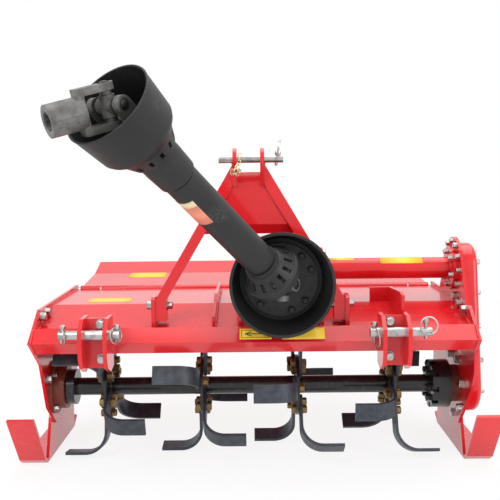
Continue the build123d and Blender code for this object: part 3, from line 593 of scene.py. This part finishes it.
def wire_ring(centre, normal, across, height, wire, start=0, stop=360, lean=Z):
    """Bent wire: centre + across * cos t * side + height * sin t * up, up near lean, square to normal."""
    normal = np.asarray(normal, float) / np.linalg.norm(normal)
    side = np.cross(lean, normal)
    side /= np.linalg.norm(side)
    up = np.cross(normal, side)
    closed = stop - start >= 360
    turn = np.radians(np.linspace(start, stop, RING_POINTS, endpoint=not closed))[:, None]
    path = np.asarray(centre) + across * np.cos(turn) * side + height * np.sin(turn) * up
    return sweep(path, wire / 2, normal, closed=closed)


# Half outlines of a clip's shank: radius, and distance from its lower end or from its upper end
SHANK_TIP = ((0.0004, 0), (0.0034, 0.002), (0.0042, 0.006))
SHANK_KNOB = ((0.0042, -0.012), (0.0068, -0.0105), (0.0078, -0.006), (0.0066, -0.001), (0.003, 0),
              (0.0004, 0.0002))
SHANK_SIDES = 16


def clip_shank(seat, lean, below, above):
    """Straight pin with a rounded tip and a knob: turned about its line, from below the seat to above it."""
    outline = [(r, d - below) for r, d in SHANK_TIP] + [(r, d + above) for r, d in SHANK_KNOB]
    return spin(outline, seat, lean, SHANK_SIDES)


class Clip(NamedTuple):
    """A locking clip: a shank through a pin's left end (0) or right end (1), and the ring that it holds."""
    pin: str
    end: int
    inset: float
    ring_shift: tuple
    ring_normal: np.ndarray
    ring_size: tuple
    ring_turn: tuple = (100, 440)
    ring_lean: np.ndarray = Z
    thickness: float = 1.0
    shank_shift: tuple = (0, 0, 0)
    lean: np.ndarray = Z
    reach: tuple = (0.021, 0.026)

    def shape(self, wire):
        """Points and faces of the shank and the ring."""
        ends = extent(self.pin)
        seat = np.mean(ends, 0)
        seat[0] = ends[self.end][0] + (1 - 2 * self.end) * self.inset
        ring = wire_ring(seat + self.ring_shift, self.ring_normal, *self.ring_size, self.thickness * wire,
                         *self.ring_turn, self.ring_lean)
        return gather([clip_shank(seat + self.shank_shift, self.lean, *self.reach), ring])


SLANT, WHOLE = np.array([0.86, 0.5, 0.12]), (0, 360)
LEFT_LEAN, TOP_LEAN = Z + 0.12 * X, Z + 0.16 * X
CLIPS = {
    "clip_left_outer": Clip("lower_pin_left", 0, 0.008, (0, -0.002, -0.001), SLANT, (0.021, 0.019),
                            lean=LEFT_LEAN),
    "clip_left_inner": Clip("lower_pin_left", 1, 0.009, (0, -0.002, -0.001), SLANT * [1, -1, 1],
                            (0.021, 0.019), lean=LEFT_LEAN),
    "clip_right_inner": Clip("lower_pin_right", 0, 0.01, (0.004, -0.006, -0.011), SLANT * [1, 0.5, 1],
                             (0.02, 0.023)),
    "clip_right_outer": Clip("lower_pin_right", 1, 0.015, (0.004, -0.019, 0.018), -Y, (0.0205, 0.0215), WHOLE,
                             shank_shift=(0, -0.003, 0), reach=(0.019, 0.034)),
    "clip_top": Clip("top_pin", 1, 0.015, 0.024 * TOP_LEAN, np.cross(Y, TOP_LEAN), (0.009, 0.021), WHOLE,
                     ring_lean=TOP_LEAN, thickness=1.3, lean=TOP_LEAN, reach=(0.018, 0.02)),
}
LINK_POINTS, LINK_SIDES = 18, 6
LINK_ROUND, LINK_STRAIGHT, LINK_HALF_WIDTH = 0.3, 0.28, 0.36
CHAIN_PITCH, CHAIN_WIRE = 0.0125, 0.0026
# Middles of the chain's links in millimetres from the top pin's line on the left ear
CHAIN_POINTS = ((18, -13, 9), (17, -20, 0), (15.5, -27, -9), (12, -31, -18), (6, -33, -25), (0, -33.5, -32),
                (6, -33, -37.5), (12.5, -29, -36), (15.5, -22, -30), (16, -14, -25))


def chain_links(points, pitch, wire):
    """Chain: on each point a wire loop, a cos t + b sign(cos t) along and c sin t across, turned by turns."""
    turn = full_turn(LINK_POINTS) + np.pi / LINK_POINTS
    lengthwise = pitch * (LINK_ROUND * np.cos(turn) + LINK_STRAIGHT * np.sign(np.cos(turn)))
    sidewise = LINK_HALF_WIDTH * pitch * np.sin(turn)
    parts = []
    for number, (point, run) in enumerate(zip(points, np.gradient(points, axis=0))):
        frame3 = basis(run)
        across, normal = frame3[:, number % 2], frame3[:, 1 - number % 2]
        loop = point + lengthwise[:, None] * frame3[:, 2] + sidewise[:, None] * across
        parts.append(sweep(loop, wire / 2, normal, LINK_SIDES, True))
    return gather(parts)


class TILLER_OT_hitch_clips(bpy.types.Operator):
    """Adds the locking clips on the hitch pins and the chain that keeps the top pin"""
    bl_idname = "tiller.hitch_clips"
    bl_label = "Hitch Clips"

    def execute(self, context):
        wire = context.scene.tiller_sizes.clip_wire
        for name, clip in CLIPS.items():
            place(name, clip.shape(wire), "zinc_steel", "frame", "zinc_steel")
        start = np.mean(extent("top_pin"), 0)
        start[0] = extent("top_clevis")[0][0]
        chain = chain_links(start + np.array(CHAIN_POINTS) * MM, CHAIN_PITCH, CHAIN_WIRE)
        place("top_pin_chain", chain, "brass_zinc", "frame", "zinc_steel")
        return {"FINISHED"}


# Weld lines in millimetres: back from the beam's front edge and up from the floor
DECK_START, DECK_FOLD = (66, 375.8), (209, 418)
PLATE_REAR, CRADLE_REAR, RIB_REAR, FOOT_REAR = (492, 418), (398, 418), (453, 418), (116, 390.6)
BEAM_EDGE, BEAM_TOP, BEAM_BOTTOM = (0.5, 355), (32.5, 387), (32.5, 323)
BRACKET_UPPER, BRACKET_LOWER = ((2, 357), (27, 382)), ((2, 353), (27, 328))
SOLE_LINE = ((160, 8), (437, 8))
# Faces across the frame in millimetres, and the plate that stands in a foot or a bracket in metres
CRADLE_FACES, RIB_FACES = (-40, -32, 170, 178), (-106, -98)
PLATE_T = 0.01
# Mast lines: across from the mast's middle, back and up, in millimetres
MAST_X = -9
MAST_LINES = (((99, 74, 640), (42, 74, 735)), ((39, 69, 792), (39, 107, 792)),
              ((40.5, 69, 737), (40.5, 107, 737)))
KNUCKLE_MIDDLES, KNUCKLE_HALF, KNUCKLE_LINE = (-510, 0, 510), 29, (495, 419)
TUBE_COLLAR, ROTOR_BEAD_R = 0.031, 0.0245


def plate_faces(node):
    """How far across the four faces of a pair of upright plates stand."""
    low, high = extent(node)
    return low[0], low[0] + PLATE_T, high[0] - PLATE_T, high[0]


class TILLER_OT_welds(bpy.types.Operator):
    """Lays the painted weld beads where plates and tubes meet"""
    bl_idname = "tiller.welds"
    bl_label = "Welds"

    def execute(self, context):
        radius = context.scene.tiller_sizes.weld
        lines = []

        def weld(x, *places):
            """Adds the lines from place to place on the upright plane that stands x across."""
            path = [on_side(x, *at) for at in places]
            lines.extend(zip(path, path[1:]))

        for x in (extent("side_plate_left")[1][0], extent("side_plate_right")[0][0]):
            weld(x, DECK_START, DECK_FOLD, PLATE_REAR)
            weld(x, BEAM_EDGE, BEAM_TOP)
            weld(x, BEAM_EDGE, BEAM_BOTTOM)
        for faces, rear in ((CRADLE_FACES, CRADLE_REAR), (RIB_FACES, RIB_REAR)):
            for x in faces:
                weld(x * MM, DECK_START, DECK_FOLD, rear)
        for x in plate_faces("mast_feet"):
            weld(x, DECK_START, FOOT_REAR)
        for side in ("left", "right"):
            for x in plate_faces(f"hitch_bracket_{side}"):
                weld(x, *BRACKET_UPPER)
                weld(x, *BRACKET_LOWER)
        for sign in (-1, 1):
            for ends in MAST_LINES:
                lines.append([spot(MAST_X + sign * x, back, up) for x, back, up in ends])
        for x in KNUCKLE_MIDDLES:
            lines.append([spot(x + sign * KNUCKLE_HALF, *KNUCKLE_LINE) for sign in (-1, 1)])
        for side in ("left", "right"):
            weld(skid_web(side)[0], *SOLE_LINE)
        beads = [bead(start, end, radius, seed=number) for number, (start, end) in enumerate(lines)]
        collar = (TUBE_HIGH[2] - TUBE_LOW[2]) / 2 - TUBE_COLLAR
        for x in (TUBE_LOW[0] + TUBE_END, TUBE_HIGH[0] - TUBE_END):
            beads.append(ring_bead((x, TUBE[1], TUBE[2]), X, collar, radius))
        place("weld_beads", gather(beads), "red_paint", "frame", "red_paint", BEAD_SHARP_ANGLE)
        rings = [ring_bead(flange_middle(number) + face * X, X, ROTOR_BEAD_R, radius)
                 for number in range(1, len(BLADE_ANGLES) + 1) for face in (-FLANGE_FACE, FLANGE_FACE)]
        place("rotor_welds", gather(rings), "black_paint", "rotor", "black_paint", BEAD_SHARP_ANGLE)
        return {"FINISHED"}


PATCH_POINTS, WRAP_POINTS = 5, 24


def film_patch(origin, width, height):
    """Flat sticker: origin + u * width + v * height on a grid."""
    u, v = np.meshgrid(*[np.linspace(0, 1, PATCH_POINTS)] * 2, indexing="ij")
    points = np.asarray(origin) + u[..., None] * np.asarray(width) + v[..., None] * np.asarray(height)
    return points.reshape(-1, 3), [quad[::-1] for quad in net(PATCH_POINTS, PATCH_POINTS, wrap_cols=False)]


def film_wrap(centre, axis, radius, length, start, stop):
    """Sticker round a tube: centre + s * axis + radius * (cos t, sin t), t from start to stop in degrees."""
    rim = radius * spokes(axis, np.radians(np.linspace(start, stop, WRAP_POINTS)))
    points = np.asarray(centre) + np.array([0.0, length])[:, None, None] * basis(axis)[:, 2] + rim
    return points.reshape(-1, 3), net(2, WRAP_POINTS, wrap_cols=False)


BEAM_SLOPE = np.array([0, 1, 1]) / math.sqrt(2)
BOARD_SLOPE = np.array([0, 208, 19]) / math.hypot(208, 19)
BEAM_STICKER, BEAM_STICKER_W, BEAM_STICKER_H = spot(-35.5, 6, 361), 0.079, 0.031
# Flat stickers: body, corner, width and height
FLAT_STICKERS = {
    "sticker_deck": ("frame", spot(-465, 243, 418), 0.121 * X, 0.07 * Y),
    "sticker_board": ("rear_board", spot(-416, 645, 431.8), 0.121 * X, 0.122 * BOARD_SLOPE),
    "sticker_beam": ("frame", BEAM_STICKER, BEAM_STICKER_W * X, BEAM_STICKER_H * BEAM_SLOPE),
    "sticker_beam_wide": ("frame", spot(70, 5, 360), 0.105 * X, 0.034 * BEAM_SLOPE),
}
# Stickers round the drive tube: how far across they start, length and last angle
TUBE_STICKERS = {"sticker_tube": (0.202, 0.075, 122), "sticker_tube_long": (0.348, 0.115, 148)}
TUBE_FILM_R, TUBE_FILM_START = 0.0291, 55
# Stickers round the shaft: how far along they start, length and finish
SHAFT_STICKERS = {"sticker_shaft": (0.32, 0.06, "peach_film"),
                  "sticker_shaft_top": (0.38, 0.018, "cream_film")}
SHAFT_FILM_R, SHAFT_FILM_TURN = 0.0376, (-140, -52)
# The arrow sticker: a thin frame, inset from the film's edges, round a plain arrow
INSET, FRAME_LINE, ARROW_LINE = 0.004, 0.0012, 0.0022
ARROW_START, ARROW_LENGTH, BARB_LENGTH, BARB_RISE = 0.009, 0.053, 0.016, 0.006


def arrow_marks(film):
    """The frame's four lines, the arrow's shaft and its two barbs, laid on a film of that thickness."""
    corner = BEAM_STICKER + INSET * (X + BEAM_SLOPE) + film * np.cross(X, BEAM_SLOPE)
    wide, high = (BEAM_STICKER_W - 2 * INSET) * X, (BEAM_STICKER_H - 2 * INSET) * BEAM_SLOPE
    across, along = FRAME_LINE * X, FRAME_LINE * BEAM_SLOPE
    marks = [film_patch(corner, wide, along), film_patch(corner + high - along, wide, along),
             film_patch(corner, across, high), film_patch(corner + wide - across, across, high)]
    thick = ARROW_LINE * BEAM_SLOPE
    tip = corner + ARROW_START * X + 0.5 * high - 0.5 * thick
    barb, rise = BARB_LENGTH * X, BARB_RISE * BEAM_SLOPE
    runs = (ARROW_LENGTH * X, barb - rise, barb + rise)
    return gather(marks + [film_patch(tip, run, thick) for run in runs])


class TILLER_OT_stickers(bpy.types.Operator):
    """Adds the blank stickers on the deck, the board, the beam, the drive tube and the shaft"""
    bl_idname = "tiller.stickers"
    bl_label = "Stickers"

    def execute(self, context):
        film = context.scene.tiller_sizes.sticker
        rows = [(name, film_patch(*sides), body, "yellow_film")
                for name, (body, *sides) in FLAT_STICKERS.items()]
        for name, (x, length, stop) in TUBE_STICKERS.items():
            wrap = film_wrap((x, TUBE[1], TUBE[2]), X, TUBE_FILM_R, length, TUBE_FILM_START, stop)
            rows.append((name, wrap, "frame", "yellow_film"))
        for name, (along, length, finish) in SHAFT_STICKERS.items():
            start = REAR_JOINT + along * SHAFT_RUN
            wrap = film_wrap(start, SHAFT_RUN, SHAFT_FILM_R, length, *SHAFT_FILM_TURN)
            rows.append((name, wrap, "shaft_rear", finish))
        rows.append(("sticker_arrow", arrow_marks(film), "frame", "black_film"))
        for name, shape, body, finish in rows:
            piece = place(name, shape, finish, body, "black_plastic" if body == "shaft_rear" else "red_paint")
            solid = piece.modifiers.new("film", "SOLIDIFY")
            solid.thickness, solid.offset = film, 1.0
        return {"FINISHED"}


# Half outline of a pressed cap: radius and height over the fork
CAP_OUTLINE = ((0.0108, -0.0004), (0.0108, 0.0008), (0.0094, 0.001), (0.0092, 0.0004), (0.0082, 0.0006),
               (0.0074, 0.0022), (0.004, 0.003), (0.0004, 0.0032))
CAP_REACH, CAP_SIDES = 0.042, 24
SPLINES, SPLINE_R, SPLINE_H, SPLINE_INSET, SPLINE_SHORT = 6, 0.0174, 0.0021, 0.002, 0.012
TOOTH_POINTS, TOOTH_STEEP, TOOTH_SHIFT, TOOTH_LOW = 16, 4, 0.5, 0.15
BELL_RIM, BELL_R, RIM_WIRE = 0.6632, 0.0896, 0.0046
RIDGE_OUT, RIDGE_START, RIDGE_END, RIDGE_R, RIDGE_PITCH = 0.03, 0.06, 0.003, 0.0011, 0.02


def splined_sleeve(centre, axis, length):
    """Splines in a bore: a sleeve of inner radius r - h * s, where s steps with the sine of splines * t."""
    turn = full_turn(TOOTH_POINTS * SPLINES)
    step = np.clip(TOOTH_STEEP * np.sin(SPLINES * turn) + TOOTH_SHIFT, TOOTH_LOW, 1.0)
    ring, along = spokes(axis, turn), length * basis(axis)[:, 2]
    inner, rim = (SPLINE_R - SPLINE_H * step)[:, None] * ring, SPLINE_R * ring
    rows = np.asarray(centre) + np.stack([rim, inner, inner + along, rim + along])
    return rows.reshape(-1, 3), net(len(rows), len(turn), wrap_rows=True)


class TILLER_OT_shaft_fittings(bpy.types.Operator):
    """Adds the trunnion caps, the rolled rim, the splines and the casting lines of the drive shaft"""
    bl_idname = "tiller.shaft_fittings"
    bl_label = "Shaft Fittings"

    def execute(self, context):
        far, far_pin = JOINTS["end_swing"]
        for name, centre, axis, body in (("caps_input", REAR_JOINT, Z, "frame"),
                                         ("caps_rear", REAR_JOINT, REAR_PIN, "shaft_rear"),
                                         ("caps_bell", far, REAR_PIN, "shaft_front"),
                                         ("caps_end", far, far_pin, "end_yoke")):
            caps = [spin(CAP_OUTLINE, centre + CAP_REACH * way, way, CAP_SIDES) for way in (-axis, axis)]
            place(name, gather(caps), "grey_steel", body, "grey_steel")
        rim = wire_ring(REAR_JOINT + BELL_RIM * SHAFT_RUN, SHAFT_RUN, BELL_R, BELL_R, RIM_WIRE, lean=REAR_PIN)
        place("bell_rim", rim, "black_plastic", "shaft_front", "black_plastic")
        mouth = next(mount for mount in frame["record"]["mounts"] if mount["name"] == "drive_end")
        ahead, depth = np.array(mouth["axis"]), mouth["dims"]["length_mm"] * MM
        end = np.array(mouth["pos_m"]) + 0.5 * depth * ahead
        splines = splined_sleeve(end - SPLINE_INSET * ahead, -ahead, depth - SPLINE_SHORT)
        place("yoke_splines", splines, "cast_grey", "end_yoke", "cast_grey")
        across = RIDGE_OUT * np.cross(far_pin, ahead)
        ridges = [bead(edge - RIDGE_START * ahead, edge - RIDGE_END * ahead, RIDGE_R, RIDGE_PITCH)
                  for edge in (end - across, end + across)]
        place("yoke_flash", gather(ridges), "cast_grey", "end_yoke", "cast_grey", BEAD_SHARP_ANGLE)
        return {"FINISHED"}


SKY_LIGHT = 0.62
FLOOR, FLOOR_GLOW, GLOW_START, GLOW_WHOLE = 30.0, 0.86, 0.8, 3.0
# Soft lights: place, size, power and the point they look at
LIGHTS = {
    "key_light": ((-2.2, -2.6, 3.4), 2.6, 95, (0, 0, 0.3)),
    "top_light": ((0.6, 0.6, 3.6), 3.2, 80, (0, 0, 0.3)),
    "fill_light": ((2.6, -2.2, 1.4), 2.0, 46, (0, 0, 0.4)),
}
# The photograph's camera: focal length and width in pixels, its place, and its turns in degrees
PHOTO_FOCAL, PHOTO_WIDTH, SENSOR = 750, 500, 36.0
EYE, EYE_YAW, EYE_PITCH, EYE_ROLL = spot(7, -1810, 760), 0.45, 90 - 5.6, -0.7


class TILLER_OT_stage(bpy.types.Operator):
    """Sets the floor, the soft lights and the camera"""
    bl_idname = "tiller.stage"
    bl_label = "Stage"

    def execute(self, context):
        scene = context.scene
        scene.view_settings.view_transform = "Standard"
        mesh = bpy.data.meshes.new("studio_floor")
        corners = [(FLOOR * x, FLOOR * y, 0) for x, y in ((-1, -1), (1, -1), (1, 1), (-1, 1))]
        mesh.from_pydata(corners, [], [(0, 1, 2, 3)])
        floor = bpy.data.objects.new("studio_floor", mesh)
        scene.collection.objects.link(floor)
        pale = Finish("studio_floor", roughness=0.9, specular_ior_level=0.1)
        pale.shader.inputs["Base Color"].default_value = (0.96, 0.96, 0.955, 1)
        white = pale.node("ShaderNodeEmission", {}, {"Color": (1, 1, 1, 1), "Strength": 1.0})
        away = pale.node("ShaderNodeVectorMath", {"operation": "LENGTH"}, {0: pale.where}, "Value")
        glow = pale.between(away, GLOW_START, GLOW_WHOLE) * (1.0 - FLOOR_GLOW) + FLOOR_GLOW
        matt = Sock(pale, pale.shader.outputs[0])
        mixed = pale.node("ShaderNodeMixShader", {}, {0: pale.seen() * glow, 1: matt, 2: white})
        pale.tree.links.new(mixed.socket, pale.tree.nodes["Material Output"].inputs["Surface"])
        mesh.materials.append(pale.material)

        world = bpy.data.worlds.new("studio_sky")
        world.use_nodes = True
        scene.world = world
        sky = Nodes(world.node_tree)
        background = sky.tree.nodes["Background"]
        background.inputs["Color"].default_value = (1, 1, 1, 1)
        strength = sky.seen() * (1.0 - SKY_LIGHT) + SKY_LIGHT
        sky.tree.links.new(strength.socket, background.inputs["Strength"])
        for name, (at, size, power, aim) in LIGHTS.items():
            light = bpy.data.lights.new(name, "AREA")
            light.size, light.energy = size, power
            lamp = bpy.data.objects.new(name, light)
            lamp.matrix_world = Matrix.Translation(at) @ Matrix(basis(np.array(at) - aim).tolist()).to_4x4()
            scene.collection.objects.link(lamp)

        camera = bpy.data.cameras.new("photo_camera")
        camera.sensor_fit, camera.sensor_width = "HORIZONTAL", SENSOR
        camera.lens = PHOTO_FOCAL / PHOTO_WIDTH * SENSOR
        eye = bpy.data.objects.new("photo_camera", camera)
        turns = [Matrix.Rotation(math.radians(angle), 4, axis)
                 for angle, axis in ((EYE_YAW, "Z"), (EYE_PITCH, "X"), (EYE_ROLL, "Z"))]
        eye.matrix_world = Matrix.Translation(EYE) @ turns[0] @ turns[1] @ turns[2]
        scene.collection.objects.link(eye)
        scene.camera = eye
        return {"FINISHED"}


class TILLER_PT_panel(bpy.types.Panel):
    """Lists the tiller's steps and settings"""
    bl_idname = "TILLER_PT_panel"
    bl_label = "Rotary Tiller"
    bl_space_type = "VIEW_3D"
    bl_region_type = "UI"
    bl_category = "Tiller"

    def draw(self, context):
        for group in (context.scene.tiller_sizes, context.scene.tiller_colours):
            for key in group.__annotations__:
                self.layout.prop(group, key)
        for step in STEPS:
            self.layout.operator(step.bl_idname)


STEPS = (TILLER_OT_finishes, TILLER_OT_blade_bolts, TILLER_OT_frame_bolts, TILLER_OT_gear_covers,
         TILLER_OT_hitch_clips, TILLER_OT_welds, TILLER_OT_stickers, TILLER_OT_shaft_fittings,
         TILLER_OT_stage)
CLASSES = (TillerSizes, TillerColours, *STEPS, TILLER_PT_panel)


def register():
    for item in CLASSES:
        bpy.utils.register_class(item)
    bpy.types.Scene.tiller_sizes = PointerProperty(type=TillerSizes)
    bpy.types.Scene.tiller_colours = PointerProperty(type=TillerColours)


def unregister():
    del bpy.types.Scene.tiller_colours
    del bpy.types.Scene.tiller_sizes
    for item in reversed(CLASSES):
        bpy.utils.unregister_class(item)


def main():
    register()
    for step in STEPS:
        group, name = step.bl_idname.split(".")
        getattr(getattr(bpy.ops, group), name)()


if __name__ == "__main__":
    main()
